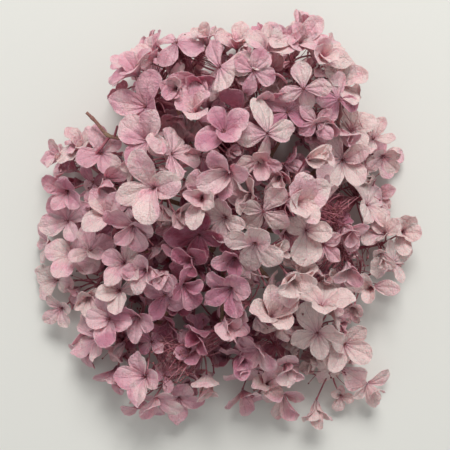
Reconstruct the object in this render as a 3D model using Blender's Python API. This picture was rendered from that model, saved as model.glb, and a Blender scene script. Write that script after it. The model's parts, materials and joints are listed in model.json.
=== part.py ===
"""Preserved hydrangea head, cut from its plant and lying on a flat surface.

Every sprig is a stalk that swells into a fork, with thin flower stalks fanning out of the fork and a
four-sepalled floret on the end of each. Tables are in millimetres and degrees, the model in metres, +Z up.
The origin is on the surface, under the middle of the head, and +Y points to the head's crown."""

import math
import random

import bmesh
import bpy
from mathutils import Matrix, Vector
from mathutils.bvhtree import BVHTree

MM = 0.001
UP = Vector((0, 0, 1))
MIDDLE = Vector((-0.1, -4.0, 0))   # of the head, in the tables' millimetres

# Florets
SEPAL_THICKNESS = 0.6
HEART_WIDTH = 2.6          # the square in the middle of a floret
FLOWER_STALK_WIDTH = 1.2
FLOWER_STALK_LENGTH = 17
WIDEST_AT = 0.55           # of a sepal's length
WIDEST_HALF = 0.40
TIP_HALF = 0.19
FOLDED_PITCH = 65          # how far a closed floret's sepals stand up

# Sprigs
FORK_RADIUS = 2.0
STALK_RADIUS = 0.9
FLORETS_OUTSIDE = 4         # on a sprig at the edge of the head
FLORETS_INSIDE = 3
EDGE_BEGINS = 50           # how far a sprig at the edge is from the middle
FILL_TURN = 137.5          # between one filling floret and the next, round a fork
FILL_SIZES = (14, 12, 15, 13, 11, 16)
FILL_TRIES = 10
LOWEST_FORK = 9
SETTLES_BELOW = 5          # a floret this close to the surface has sunk onto it

# Room kept round each piece while the head is filled
SHEET_ROOM = 1.3
STALK_ROOM = 1.5           # radius, at the fork
HEART_ROOM = 2.2           # radius, where a flower stalk widens under its floret
FORK_ROOM = 1.2
BRANCH_ROOM = 1.2
FORK_CLEARS = 5            # flower stalks of one sprig meet this close to its fork

# Branches: the radius, then the points that the branch is drawn through
BRANCHES = {
    "main_stem": (2.6, ((6, -46, 4), (4, -32, 7), (1, -18, 12), (0, -9, 17))),
    "branch_crown_left": (1.5, ((-5, 2, 20), (-13, 22, 30), (-22, 44, 38), (-28, 62, 42))),
    "branch_crown_middle": (1.5, ((-1, 4, 21), (2, 26, 34), (5, 48, 44), (8, 66, 47))),
    "branch_crown_right": (1.5, ((4, 2, 20), (16, 22, 29), (30, 46, 36), (42, 64, 38))),
    "branch_right_high": (1.4, ((6, -1, 18), (26, 12, 21), (48, 26, 19), (64, 34, 15))),
    "branch_right": (1.4, ((6, -5, 17), (28, -7, 22), (50, -12, 20), (66, -17, 15))),
    "branch_lower_right": (1.5, ((4, -9, 18), (17, -27, 26), (34, -46, 29), (46, -60, 24))),
    "branch_lower": (1.4, ((-1, -14, 19), (-3, -32, 30), (-3, -50, 34), (-4, -64, 28))),
    "branch_lower_left": (1.5, ((-4, -9, 18), (-16, -28, 26), (-32, -50, 27), (-46, -68, 19))),
    "branch_left_low": (1.4, ((-6, -5, 18), (-27, -12, 28), (-48, -20, 30), (-66, -26, 22))),
    "branch_left_high": (1.4, ((-6, -1, 19), (-26, 8, 30), (-46, 14, 32), (-64, 18, 24))),
    "cut_side_branch": (1.2, ((-48, 41, 50), (-58, 44, 47), (-66, 46, 45), (-72, 53, 46), (-77, 58, 48))),
}

# Sprigs: how deep the pink is, 0 to 1, then the florets that show. A floret is the place of its heart, the way
# it leans and how far from upright, its sepals' length, how open it is, and its turn.
SPRIGS = {
    "sprig_centre_left": (0.2, ((-37, 16, 79, 200, 8, 20, 0.92, 14),)),
    "sprig_centre_top": (0.3, ((-13, 11, 76, 250, 12, 15, 0.85, 75), (1, 24, 78, 10, 10, 16, 0.9, 10))),
    "sprig_centre_high": (0.2, ((20, 44, 73, 90, 10, 16, 0.85, 15), (17, 31, 67, 270, 30, 12, 0.8, 85))),
    "sprig_centre_back": (0.4, ((-2, 44, 76, 200, 12, 15, 0.8, 30), (-17, 54, 68, 120, 20, 14, 0.7, 0))),
    "sprig_shoulder_left": (0.3, ((-41, 40, 72, 150, 15, 15, 0.8, 55), (-29, 33, 75, 60, 25, 15, 0.55, 85))),
    "sprig_centre_middle": (0.1, ((12, 13, 71, 200, 30, 13, 0.5, 20), (18, 4, 74, 240, 12, 14, 0.8, 50),
                                  (-1, 1, 71, 270, 22, 14, 0.75, 70))),
    "sprig_centre_right": (0.1, ((31, 8, 73, 10, 18, 20, 0.85, 12), (29, 24, 62, 20, 25, 12, 0.6, 30))),
    "sprig_right_shoulder": (0.2, ((41, 31, 64, 20, 35, 14, 0.5, 30), (41, -6, 62, 350, 20, 15, 0.75, 80))),
    "sprig_centre_low": (0.0, ((31, -29, 68, 290, 20, 17, 0.8, 5), (14, -12, 74, 240, 20, 14, 0.8, 60))),
    "sprig_hollow": (0.9, ((-15, -8, 67, 300, 20, 15, 0.6, 20), (-18, -20, 62, 240, 25, 14, 0.5, 50))),
    "sprig_front_top": (0.5, ((2, -36, 63, 250, 18, 16, 0.75, 40), (4, -20, 69, 250, 15, 14, 0.75, 0))),
    "sprig_front_middle": (0.1, ((23, -52, 59, 250, 15, 18, 0.85, 20), (-2, -54, 54, 240, 25, 14, 0.4, 35))),
    "sprig_crown_left_front": (0.4, ((-43, 59, 62, 200, 20, 16, 0.8, 70), (-47, 75, 60, 130, 30, 15, 0.7, 20),
                                     (-52, 82, 48, 135, 50, 13, 0.7, 50))),
    "sprig_crown_left_back": (0.3, ((-27, 93, 60, 90, 35, 14, 0.6, 55), (-38, 87, 54, 115, 40, 13, 0.65, 30))),
    "sprig_crown_left_low": (0.5, ((-26, 68, 66, 200, 20, 12, 0.7, 40), (-18, 74, 57, 180, 10, 15, 0.75, 10))),
    "sprig_crown_back": (0.2, ((-4, 78, 70, 100, 20, 16, 0.75, 30), (-11, 92, 58, 90, 35, 12, 0.7, 80),
                               (5, 91, 59, 90, 35, 14, 0.7, 5), (20, 88, 64, 60, 20, 14, 0.85, 75))),
    "sprig_crown_middle": (0.6, ((13, 76, 67, 280, 20, 11, 0.8, 70), (19, 63, 60, 300, 15, 14, 0.7, 30),
                                 (31, 56, 61, 300, 20, 14, 0.75, 60))),
    "sprig_crown_under_left": (0.5, ((-38, 96, 17, 110, 55, 14, 0.75, 20), (-53, 84, 15, 140, 60, 13, 0.75, 60))),
    "sprig_crown_under_middle": (0.5, ((-2, 101, 16, 90, 60, 14, 0.75, 30), (16, 100, 17, 80, 55, 13, 0.75, 70))),
    "sprig_crown_under_right": (0.4, ((47, 98, 16, 60, 55, 14, 0.75, 10), (62, 84, 17, 40, 55, 14, 0.75, 50))),
    "sprig_crown_right_back": (0.2, ((38, 101, 48, 80, 50, 13, 0.7, 80), (38, 93, 56, 100, 25, 14, 0.75, 40))),
    "sprig_crown_right_edge": (0.1, ((52, 95, 42, 60, 45, 13, 0.7, 60), (60, 72, 50, 30, 40, 13, 0.7, 10))),
    "sprig_crown_right_top": (0.2, ((48, 85, 59, 30, 20, 15, 0.8, 30), (39, 67, 65, 270, 15, 12, 0.8, 15))),
    "sprig_crown_right_low": (0.5, ((58, 63, 55, 330, 25, 12, 0.8, 80), (50, 54, 50, 300, 20, 15, 0.7, 20))),
    "sprig_right_big": (0.0, ((64, 33, 35, 20, 15, 19, 0.9, 30), (70, 50, 28, 60, 30, 13, 0.8, 10))),
    "sprig_right_far": (0.4, ((84, 46, 20, 60, 30, 13, 0.7, 60), (90, 35, 15, 10, 20, 14, 0.8, 15))),
    "sprig_right_middle": (0.1, ((80, 8, 21, 340, 25, 15, 0.8, 30), (90, 14, 14, 350, 40, 13, 0.75, 10))),
    "sprig_right_inner": (0.5, ((64, -4, 44, 350, 20, 15, 0.7, 30), (66, -24, 42, 340, 20, 14, 0.75, 0))),
    "sprig_right_tip": (0.3, ((102, -8, 14, 0, 25, 14, 0.8, 80), (95, -25, 16, 330, 30, 13, 0.8, 20))),
    "sprig_right_lower": (0.2, ((84, -39, 24, 330, 20, 15, 0.85, 15),)),
    "sprig_front_right_top": (0.0, ((50, -47, 57, 40, 12, 18, 0.9, 75), (38, -33, 58, 120, 25, 12, 0.7, 60))),
    "sprig_front_right": (0.1, ((49, -62, 49, 300, 22, 16, 0.8, 10), (66, -71, 30, 330, 20, 14, 0.8, 60))),
    "sprig_front_right_edge": (0.3, ((66, -86, 24, 320, 30, 17, 0.85, 60), (82, -97, 12, 310, 35, 15, 0.8, 20),
                                     (52, -107, 13, 280, 40, 14, 0.8, 30))),
    "sprig_front_low": (0.7, ((32, -80, 36, 280, 25, 14, 0.7, 0), (18, -70, 46, 270, 20, 14, 0.7, 45))),
    "sprig_front_edge": (0.5, ((22, -95, 24, 270, 35, 15, 0.75, 30), (33, -104, 13, 270, 45, 14, 0.75, 60),
                               (10, -84, 34, 280, 30, 13, 0.8, 30))),
    "sprig_front": (0.2, ((-12, -88, 33, 260, 30, 15, 0.85, 85), (-27, -80, 30, 200, 30, 12, 0.7, 10))),
    "sprig_front_inner": (0.7, ((-10, -62, 48, 250, 25, 15, 0.7, 80), (7, -75, 41, 270, 20, 13, 0.6, 20))),
    "sprig_front_left_top": (0.4, ((-46, -88, 37, 240, 18, 17, 0.9, 5), (-49, -53, 43, 240, 15, 14, 0.85, 0))),
    "sprig_front_left_edge": (0.5, ((-29, -105, 13, 250, 40, 14, 0.75, 80), (-51, -107, 10, 240, 50, 13, 0.75, 60))),
    "sprig_left_low_edge": (0.5, ((-64, -86, 16, 240, 50, 15, 0.6, 80), (-82, -76, 14, 230, 55, 13, 0.7, 60))),
    "sprig_left_low": (0.4, ((-74, -68, 27, 200, 30, 17, 0.8, 40), (-65, -55, 38, 220, 25, 14, 0.7, 0))),
    "sprig_middle_left": (0.4, ((-43, -27, 58, 200, 25, 13, 0.6, 80), (-35, -28, 60, 90, 15, 12, 0.45, 80),
                                (-34, -41, 52, 250, 20, 13, 0.7, 60), (-24, -34, 56, 250, 20, 13, 0.75, 10))),
    "sprig_left_inner": (0.3, ((-50, -3, 62, 240, 12, 14, 0.75, 30), (-56, -24, 56, 130, 15, 14, 0.8, 60),
                               (-64, 2, 53, 190, 20, 14, 0.7, 60))),
    "sprig_left_pale": (0.1, ((-97, -52, 16, 210, 30, 12, 0.85, 40), (-100, -36, 13, 190, 40, 13, 0.75, 0),
                              (-59, -39, 50, 200, 20, 14, 0.8, 0))),
    "sprig_left_middle": (0.2, ((-89, -22, 27, 190, 20, 16, 0.8, 60), (-104, -14, 14, 180, 40, 13, 0.8, 0),
                                (-77, -18, 37, 180, 20, 14, 0.8, 20))),
    "sprig_left": (0.4, ((-91, -1, 28, 190, 20, 14, 0.8, 30), (-66, 22, 50, 170, 20, 14, 0.75, 50))),
    "sprig_left_high": (0.4, ((-90, 16, 30, 170, 20, 15, 0.8, 60), (-70, 36, 40, 140, 20, 14, 0.75, 20))),
    "sprig_left_high_edge": (0.3, ((-95, 36, 22, 140, 30, 12, 0.75, 10), (-84, 41, 28, 110, 25, 13, 0.75, 45))),
}


def heading(azimuth, lean):
    """The direction that is lean degrees off upright, towards the azimuth."""
    turn = math.radians(azimuth)
    tilt = math.radians(lean)
    return Vector((math.cos(turn) * math.sin(tilt), math.sin(turn) * math.sin(tilt), math.cos(tilt)))


def floret_frame(floret):
    """The matrix that stands a floret on its heart: +Z is the way it faces, +X its first sepal."""
    x, y, z, azimuth, lean, _, _, turn = floret
    tilt = UP.rotation_difference(heading(azimuth, lean)).to_matrix().to_4x4()
    return Matrix.Translation((x, y, z)) @ tilt @ Matrix.Rotation(math.radians(turn), 4, "Z")


def sepal_rings(length, pitch):
    """How far out, how high and how wide a sepal is at its waist and at its blunt tip."""
    widest = length * WIDEST_AT
    flatter = pitch * 0.55
    out = widest * math.cos(pitch)
    rise = widest * math.sin(pitch)
    rest = length - widest
    return ((out, rise, length * WIDEST_HALF),
            (out + rest * math.cos(flatter), rise + rest * math.sin(flatter), length * TIP_HALF))


def sepals(floret, seed):
    """For each sepal, the way it points in the floret's own plane, how steeply it stands up, and its length."""
    _, _, _, _, _, length, opening, _ = floret
    chance = random.Random(seed)
    for quarter in range(4):
        turn = quarter * math.pi / 2
        outward = Vector((math.cos(turn), math.sin(turn), 0))
        skew = Matrix.Rotation(math.radians(chance.uniform(-7, 7)), 3, "Z")
        pitch = math.radians((1 - opening) * FOLDED_PITCH + chance.uniform(-8, 10))
        yield outward, skew, pitch, length * chance.uniform(0.88, 1.06)


def floret_sheet(floret, seed, thickness):
    """Four sepals round a square heart, as a closed sheet, still facing up at the middle of the table."""
    sheet = bmesh.new()
    bmesh.ops.create_grid(sheet, x_segments=1, y_segments=1, size=HEART_WIDTH / 2)
    sides = sheet.edges[:]
    for outward, skew, pitch, length in sepals(floret, seed):
        edge = max(sides, key=lambda side: (side.verts[0].co + side.verts[1].co).dot(outward))
        across = UP.cross(outward)
        for out, rise, half in sepal_rings(length, pitch):
            grown = bmesh.ops.extrude_edge_only(sheet, edges=[edge])["geom"]
            edge = next(item for item in grown if isinstance(item, bmesh.types.BMEdge))
            for vert in edge.verts:
                side = half if vert.co.dot(across) > 0 else -half
                vert.co = skew @ (outward * out + across * side) + UP * rise
    bmesh.ops.solidify(sheet, geom=sheet.faces[:], thickness=thickness)
    bmesh.ops.recalc_face_normals(sheet, faces=sheet.faces[:])
    return sheet


def add_floret(bm, floret, seed, fork, stops):
    """One closed floret with its flower stalk, which stops a little short of the fork."""
    part = floret_sheet(floret, seed, SEPAL_THICKNESS)
    hearts = [face for face in part.faces if face.calc_center_median().to_2d().length < 0.1]
    under = min(hearts, key=lambda face: face.calc_center_median().z)
    frame = floret_frame(floret)
    start = under.calc_center_median()
    goal = frame.inverted() @ fork
    stop = goal - (goal - start).normalized() * stops
    end = bmesh.ops.extrude_discrete_faces(part, faces=[under])["faces"][0]
    turn = Vector((0, 0, -1)).rotation_difference(stop - start)
    shrink = FLOWER_STALK_WIDTH / HEART_WIDTH
    for vert in end.verts:
        vert.co = stop + turn @ ((vert.co - start) * shrink)
    part.transform(frame)
    join(bm, part)


def join(bm, part):
    """Move all of part into bm."""
    mesh = bpy.data.meshes.new("joining")
    part.to_mesh(mesh)
    part.free()
    bm.from_mesh(mesh)
    bpy.data.meshes.remove(mesh)


def add_tube(bm, points, radii, sides):
    """A closed round tube through the points, with a radius for each point."""
    part = bmesh.new()
    bmesh.ops.create_cone(part, cap_ends=True, segments=sides, radius1=radii[0], radius2=radii[0], depth=1)
    along = (points[1] - points[0]).normalized()
    part.transform(Matrix.Translation(points[0]) @ UP.rotation_difference(along).to_matrix().to_4x4()
                   @ Matrix.Translation((0, 0, 0.5)))
    here = points[0] + along
    swell = radii[0]
    face = max(part.faces, key=lambda item: item.calc_center_median().dot(along))
    for i in range(1, len(points)):
        if i > 1:
            face = bmesh.ops.extrude_discrete_faces(part, faces=[face])["faces"][0]
        ahead = (points[min(i + 1, len(points) - 1)] - points[i - 1]).normalized()
        turn = along.rotation_difference(ahead)
        for vert in face.verts:
            vert.co = points[i] + turn @ ((vert.co - here) * (radii[i] / swell))
        along = ahead
        here = points[i]
        swell = radii[i]
    join(bm, part)


def add_fork(bm, fork, root, room):
    """A sprig's stalk, from its root to the swelling that its flower stalks leave from."""
    along = (fork - root).normalized()
    points = [root, fork - along * FORK_RADIUS * 1.6, fork, fork + along * FORK_RADIUS]
    radii = [STALK_RADIUS + room, STALK_RADIUS + room, FORK_RADIUS + room, FORK_RADIUS * 0.5 + room]
    add_tube(bm, points, radii, 5)


def smooth_line(points, steps):
    """Points on a smooth curve through the given points."""
    given = [Vector(point) for point in points]
    line = []
    for i in range(len(given) - 1):
        before = given[max(i - 1, 0)]
        start = given[i]
        end = given[i + 1]
        after = given[min(i + 2, len(given) - 1)]
        for step in range(steps):
            t = step / steps
            line.append(0.5 * (2 * start + (end - before) * t
                               + (2 * before - 5 * start + 4 * end - after) * t * t
                               + (3 * start - before - 3 * end + after) * t * t * t))
    line.append(given[-1])
    return line


def outline(bm):
    """The mesh's corners and faces, ready for a search tree. Frees the mesh."""
    bm.verts.index_update()
    corners = [vert.co.copy() for vert in bm.verts]
    faces = [[vert.index for vert in face.verts] for face in bm.faces]
    bm.free()
    return corners, faces


def tree_and_ball(corners, faces):
    """A search tree and the ball round it."""
    middle = sum(corners, Vector()) / len(corners)
    reach = max((corner - middle).length for corner in corners)
    return BVHTree.FromPolygons(corners, faces), (middle, reach)


class Thicket:
    """The pieces placed so far. Each has a tree that other sprigs keep clear of, and one for its own sprig,
    which leaves out the end where the sprig's flower stalks meet at the fork."""

    def __init__(self):
        self.pieces = []

    def add(self, owner, ball, far, near):
        self.pieces.append((owner, ball, far, near))

    def free(self, owner, ball, far, near):
        for other_owner, (middle, reach), other_far, other_near in self.pieces:
            if (ball[0] - middle).length > ball[1] + reach:
                continue
            if owner != other_owner:
                if far.overlap(other_far):
                    return False
            elif near and other_near and near.overlap(other_near):
                return False
        return True


def stalk_tree(start, fork, stops):
    """A flower stalk with room round it."""
    along = (fork - start).normalized()
    room = bmesh.new()
    add_tube(room, [start + along, fork - along * stops], [HEART_ROOM, STALK_ROOM], 6)
    return tree_and_ball(*outline(room))


def place_floret(thicket, owner, floret, seed, fork):
    """The floret, moved a little until it is clear of the others and of the surface, or None."""
    for size in (1, 0.88):
        flat = shifted(floret, 0, 0, 0, size)
        corners, faces = outline(floret_sheet(flat, seed, SHEET_ROOM))
        for lean in (0, 12):
            for lift in (0, 3, -3, 6, -6):
                for turn in (0, 16, -16):
                    candidate = shifted(flat, lift, turn, lean, 1)
                    frame = floret_frame(candidate)
                    placed = [frame @ corner for corner in corners]
                    lowest = min(corner.z for corner in placed)
                    if lowest < SETTLES_BELOW:
                        candidate = shifted(candidate, -lowest, 0, 0, 1)
                        placed = [corner - UP * lowest for corner in placed]
                    tree, ball = tree_and_ball(placed, faces)
                    if not thicket.free(owner, ball, tree, tree):
                        continue
                    heart = Vector(candidate[:3])
                    far, stalk_ball = stalk_tree(heart, fork, 0)
                    near, _ = stalk_tree(heart, fork, FORK_CLEARS)
                    if thicket.free(owner, stalk_ball, far, near):
                        thicket.add(owner, ball, tree, tree)
                        thicket.add(owner, stalk_ball, far, near)
                        return candidate
    return None


def shifted(floret, lift, more_turn, more_lean, size):
    x, y, z, azimuth, lean, length, opening, turn = floret
    return (x, y, z + lift, azimuth, lean + more_lean, length * size, opening, turn + more_turn)


def find_fork(florets):
    """A flower stalk's length behind the florets, and not too low."""
    total = Vector()
    for floret in florets:
        total += Vector(floret[:3]) - heading(floret[3], floret[4] * 0.5) * FLOWER_STALK_LENGTH
    fork = total / len(florets)
    inward = Vector((-fork.x, -fork.y, 0)).normalized()
    fork += inward * 4
    fork.z = max(fork.z, LOWEST_FORK)
    return fork


def place_fork(thicket, name, wanted, twigs):
    """The fork and the root of its stalk, moved and shortened until they are clear of the others."""
    for away in (0, 4, 8, 12):
        for azimuth in range(0, 360, 45):
            fork = wanted + heading(azimuth, 90) * away
            near = min(twigs, key=lambda point: (point - fork).length)
            for share in (0.9, 0.7, 0.5, 0.3):
                length = max((near - fork).length * share, FORK_RADIUS * 2.5)
                root = fork + (near - fork).normalized() * length
                room = bmesh.new()
                add_fork(room, fork, root, FORK_ROOM)
                tree, ball = tree_and_ball(*outline(room))
                if thicket.free(name, ball, tree, None):
                    thicket.add(name, ball, tree, None)
                    return fork, root
    raise ValueError(name + " has no room for its fork")


def grow():
    """Every sprig's fork, the root of its stalk, and its florets, all clear of each other."""
    thicket = Thicket()
    lines = {}
    for name, (radius, points) in BRANCHES.items():
        lines[name] = smooth_line(points, 3)
        room = bmesh.new()
        add_tube(room, lines[name], [radius + BRANCH_ROOM] * len(lines[name]), 8)
        tree, ball = tree_and_ball(*outline(room))
        thicket.add(name, ball, tree, None)
    twigs = [point for name, line in lines.items() if name.startswith("branch") for point in line[3:]]
    forks = {name: place_fork(thicket, name, find_fork(florets), twigs)
             for name, (_, florets) in SPRIGS.items()}
    grown = {}
    for number, (name, (_, florets)) in enumerate(SPRIGS.items()):
        fork = forks[name][0]
        placed = []
        for k, floret in enumerate(florets):
            seed = number * 20 + k
            candidate = place_floret(thicket, name, floret, seed, fork)
            if candidate:
                placed.append((candidate, seed))
        grown[name] = placed
    for number, (name, (_, florets)) in enumerate(SPRIGS.items()):
        fork = forks[name][0]
        outward = math.degrees(math.atan2(fork.y, fork.x))
        furthest = max(math.hypot(floret[0], floret[1]) for floret in florets)
        wanted = FLORETS_OUTSIDE if fork.to_2d().length > EDGE_BEGINS else FLORETS_INSIDE
        for k in range(FILL_TRIES):
            if len(grown[name]) >= wanted:
                break
            azimuth = outward + FILL_TURN * k
            lean = (75, 60, 95, 50, 110)[k % 5]
            heart = fork + heading(azimuth, lean) * (FLOWER_STALK_LENGTH - 2)
            if heart.to_2d().length > furthest + 1:
                continue
            length = FILL_SIZES[(number + k) % len(FILL_SIZES)]
            floret = (heart.x, heart.y, heart.z, azimuth, lean, length, 0.75, 40 * k)
            seed = number * 20 + k + 10
            candidate = place_floret(thicket, name, floret, seed, fork)
            if candidate:
                grown[name].append((candidate, seed))
    return lines, forks, grown


def material(name, colour, roughness):
    made = bpy.data.materials.new(name)
    made.use_nodes = True
    shader = made.node_tree.nodes["Principled BSDF"]
    shader.inputs["Base Color"].default_value = colour
    shader.inputs["Roughness"].default_value = roughness
    shader.inputs["Metallic"].default_value = 0
    return made


def sepal_colour(depth):
    pale = (0.62, 0.44, 0.43)
    deep = (0.33, 0.13, 0.19)
    return tuple(a + (b - a) * depth for a, b in zip(pale, deep)) + (1,)


def mesh_object(name, bm, made, collection):
    mesh = bpy.data.meshes.new(name)
    bm.transform(Matrix.Scale(MM, 4) @ Matrix.Translation(-MIDDLE))
    bm.to_mesh(mesh)
    bm.free()
    mesh.materials.append(made)
    thing = bpy.data.objects.new(name, mesh)
    collection.objects.link(thing)
    return thing


def add_branch(name, radius, line, made, collection):
    """A branch that thins towards its tip, as a bevelled curve."""
    curve = bpy.data.curves.new(name, "CURVE")
    curve.dimensions = "3D"
    curve.bevel_depth = radius * MM
    curve.bevel_resolution = 1
    curve.use_fill_caps = True
    spline = curve.splines.new("POLY")
    spline.points.add(len(line) - 1)
    for i, point in enumerate(line):
        spline.points[i].co = (*((point - MIDDLE) * MM), 1)
        spline.points[i].radius = 1 - 0.35 * i / (len(line) - 1)
    curve.materials.append(made)
    collection.objects.link(bpy.data.objects.new(name, curve))


def build():
    for thing in list(bpy.data.objects):
        bpy.data.objects.remove(thing)
    head = bpy.data.collections.new("preserved_hydrangea_head")
    cutters = bpy.data.collections.new("joining_pieces")
    bpy.context.scene.collection.children.link(head)
    bpy.context.scene.collection.children.link(cutters)
    lines, forks, grown = grow()
    bark = material("bark", (0.30, 0.17, 0.12, 1), 0.85)
    for name, (radius, _) in BRANCHES.items():
        add_branch(name, radius, lines[name], bark, head)
    for name, placed in grown.items():
        fork, root = forks[name]
        petals = material(name, sepal_colour(SPRIGS[name][0]), 0.7)
        stalk = bmesh.new()
        add_fork(stalk, fork, root, 0)
        sprig = mesh_object(name, stalk, petals, head)
        florets = bmesh.new()
        for k, (floret, seed) in enumerate(placed):
            add_floret(florets, floret, seed, fork, 0.2 + 0.17 * k)
        cutter = mesh_object(name + "_florets", florets, petals, cutters)
        cutter.hide_render = True
        cutter.display_type = "WIRE"
        joined = sprig.modifiers.new("join", "BOOLEAN")
        joined.operation = "UNION"
        joined.solver = "EXACT"
        joined.use_self = True
        joined.object = cutter


build()
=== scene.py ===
"""Preserved hydrangea head, as it looks: papery veined sepals, dark hearts, crimson stalks and bark.

The first half places the sprigs and florets by the same rules as the solids, in millimetres and degrees.
The second half gives them their fine shapes and finishes."""

import json
import math
import random

import bmesh
import bpy
from mathutils import Matrix, Vector, noise
from mathutils.bvhtree import BVHTree

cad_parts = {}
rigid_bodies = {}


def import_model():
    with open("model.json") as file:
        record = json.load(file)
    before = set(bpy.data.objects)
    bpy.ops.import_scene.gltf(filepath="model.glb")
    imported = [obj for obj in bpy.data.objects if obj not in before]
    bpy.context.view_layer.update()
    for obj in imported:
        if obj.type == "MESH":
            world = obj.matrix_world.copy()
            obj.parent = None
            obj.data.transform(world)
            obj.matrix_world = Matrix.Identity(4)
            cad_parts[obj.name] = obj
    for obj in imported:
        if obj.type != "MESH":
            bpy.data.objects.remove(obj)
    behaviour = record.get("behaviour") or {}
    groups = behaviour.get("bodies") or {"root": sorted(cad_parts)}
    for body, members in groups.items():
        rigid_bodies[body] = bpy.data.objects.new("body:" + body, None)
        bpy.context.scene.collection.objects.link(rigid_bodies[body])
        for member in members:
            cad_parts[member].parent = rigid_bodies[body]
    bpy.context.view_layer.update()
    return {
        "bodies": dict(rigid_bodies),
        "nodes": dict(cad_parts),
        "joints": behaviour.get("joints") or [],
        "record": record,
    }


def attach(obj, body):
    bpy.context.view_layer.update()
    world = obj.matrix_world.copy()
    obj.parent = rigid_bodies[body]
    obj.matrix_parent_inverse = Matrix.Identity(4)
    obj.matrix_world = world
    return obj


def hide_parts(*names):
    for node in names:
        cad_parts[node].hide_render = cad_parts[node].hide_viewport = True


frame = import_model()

MM = 0.001
UP = Vector((0, 0, 1))
MIDDLE = Vector((-0.1, -4.0, 0))   # of the head, in the tables' millimetres

# Florets
HEART_WIDTH = 2.6          # the square in the middle of a floret
FLOWER_STALK_LENGTH = 17
WIDEST_AT = 0.55           # of a sepal's length
WIDEST_HALF = 0.40
TIP_HALF = 0.19
FOLDED_PITCH = 65          # how far a closed floret's sepals stand up

# Sprigs
FORK_RADIUS = 2.0
STALK_RADIUS = 0.9
FLORETS_OUTSIDE = 4         # on a sprig at the edge of the head
FLORETS_INSIDE = 3
EDGE_BEGINS = 50           # how far a sprig at the edge is from the middle
FILL_TURN = 137.5          # between one filling floret and the next, round a fork
FILL_SIZES = (14, 12, 15, 13, 11, 16)
FILL_TRIES = 10
LOWEST_FORK = 9
SETTLES_BELOW = 5          # a floret this close to the surface has sunk onto it

# Room kept round each piece while the head is filled
SHEET_ROOM = 1.3
STALK_ROOM = 1.5           # radius, at the fork
HEART_ROOM = 2.2           # radius, where a flower stalk widens under its floret
FORK_ROOM = 1.2
BRANCH_ROOM = 1.2
FORK_CLEARS = 5            # flower stalks of one sprig meet this close to its fork

# Extra florets, which only show
EXTRA_SEED = 5000           # their seeds begin here
LOW_SEED = 8000
SHOWN_FLORETS = 16          # on one sprig, with those in the solids but before the low ones
EXTRA_TRIES = 60
EXTRA_AWAY = (20, 60, 95, 125, 150)   # from upright, round the fork
EXTRA_OPENINGS = (0.75, 0.5, 0.85, 0.35, 0.65)
EXTRA_SHORTER = 0.92        # their sepals, against those of the filling florets
EXTRA_ROOM = 0.3
EXTRA_STALK_ROOM = 0.5
EXTRA_LEAN = 55             # at most
LOW_SPACING = 14            # between the low florets that close the head from below
LOW_REACH = 96
LOW_TWIGS = 38              # longest stalk of a low floret
LOW_FORKS = 5               # how many of the nearest forks are tried
LOW_LENGTH = 13.5
LOW_LEAN = 20

# Open places where only bare stems show: middle and radius
HOLLOWS = ((-28, -76, 43, 15), (61, -17, 40, 10), (73, 43, 26, 9), (-25, 92, 50, 8), (58, 3, 44, 9))
HOLLOW_DEPTH = 8            # an extra floret in a hollow stands at least this far under its middle
HOLLOW_TWIGS = 24
HOLLOW_TWIGS_REACH = 42

# How a floret has dried, in degrees
SHOW_NODS = 46              # how far it has turned, at most
FILL_NODS = 60
FOLDS = ((0.42, 18, 44), (0.58, -42, -18), (1, -4, 14))   # to this share of all: least and most
INNER_PAIR_STEEPER = 8      # two of the four sepals stand inside the other two
INNER_PAIR_SMALLER = 0.05
STANDING = (-24, 44, 2)     # of each sepal: least, most and commonest
SKEW = (-9, 9)

# How sepals differ, and what they share
SEPAL_COLUMNS = 4
SEPAL_ROWS = 6
SHOW_GROWTH = (0.98, 1.30)  # how the sepals' lengths differ from the solids'
EXTRA_GROWTH = (0.88, 1.20)
HALF_WIDTH = (0.31, 0.46)   # of the length
LATENESS = (0.95, 1.4)      # how far along a sepal is widest
SLIMNESS = (0.58, 0.92)
CURL = (-45, 35, -5)        # towards the tip, in degrees: least, most and commonest
HUG = (0.5, 1.5)            # how closely a sepal's sides follow the bowl
RUFFLE = (0.01, 0.06)       # height of the waves along its rim, of the length
WAVES = (1.0, 2.2)
SWEEP = (-0.10, 0.10)       # how far the tip bends sideways, of the length
POINT = (-0.10, 0.07)       # of the tip, where there is one
TIP_ROUND = 0.05
BOWL_AT_LEAST = 0.12        # every sepal is a little hollow, even in a floret that lies open
MOST_TURN = 1.3             # how far a sepal's side may curl round, in radians
CREASE_DEPTH = 1.9
CREASE_SIZE = 0.28
SEPAL_LAYER = 0.35          # the second pair of sepals sits this much above the first
LOWEST_SEPAL = 0.5          # what would sink into the surface lies on it
SHOWN_THICKNESS = 0.22
HEART_RADIUS = 0.7

# Stalks and shoots
STALK_ENTERS = 3            # how far a sprig's stalk runs into its branch
STAMENS = 5
TWIGLETS = 12
SHARP_FROM = 62             # an edge between two faces shows as sharp from this angle

# Side arms of a branch, which it holds besides its sprigs
ARMS = {"cut_side_branch": (((-65, 45, 45), (-70, 39, 43), (-76, 33, 41)), ((-62, 45, 46), (-60, 50, 50)))}

# Blush: how deep the pink is, which chance and the place on the head change. Painted shade is added to it as
# well: deeper pink under the dome's surface and in the dip, standing for the shade there
FLORET_BLUSH = 0.14         # either way
SEPAL_BLUSH = 0.09
EVEN_BLUSH = 0.10
HEAD_TOP = 84               # the dome that the outside of the head follows: its height
HEAD_REACH = 124            # and its radius
SHADE_BEGINS = 13           # under the dome
SHADE_DEPTH = 32
# painted shade: how much deeper pink the sepals are made deep inside the head
PAINTED_SHADE_BLUSH = 0.65
FADED_SIDE = Vector((0.86, -0.5, 0))
FADED_REACH = 75
FADED_BLUSH = 0.42
# A dip in the head, where painted shade makes the sepals deeper pink
DIP_MIDDLE = Vector((-14, -46))
DIP_WIDTH = 27
DIP_PAINTED_SHADE = 0.5

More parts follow.
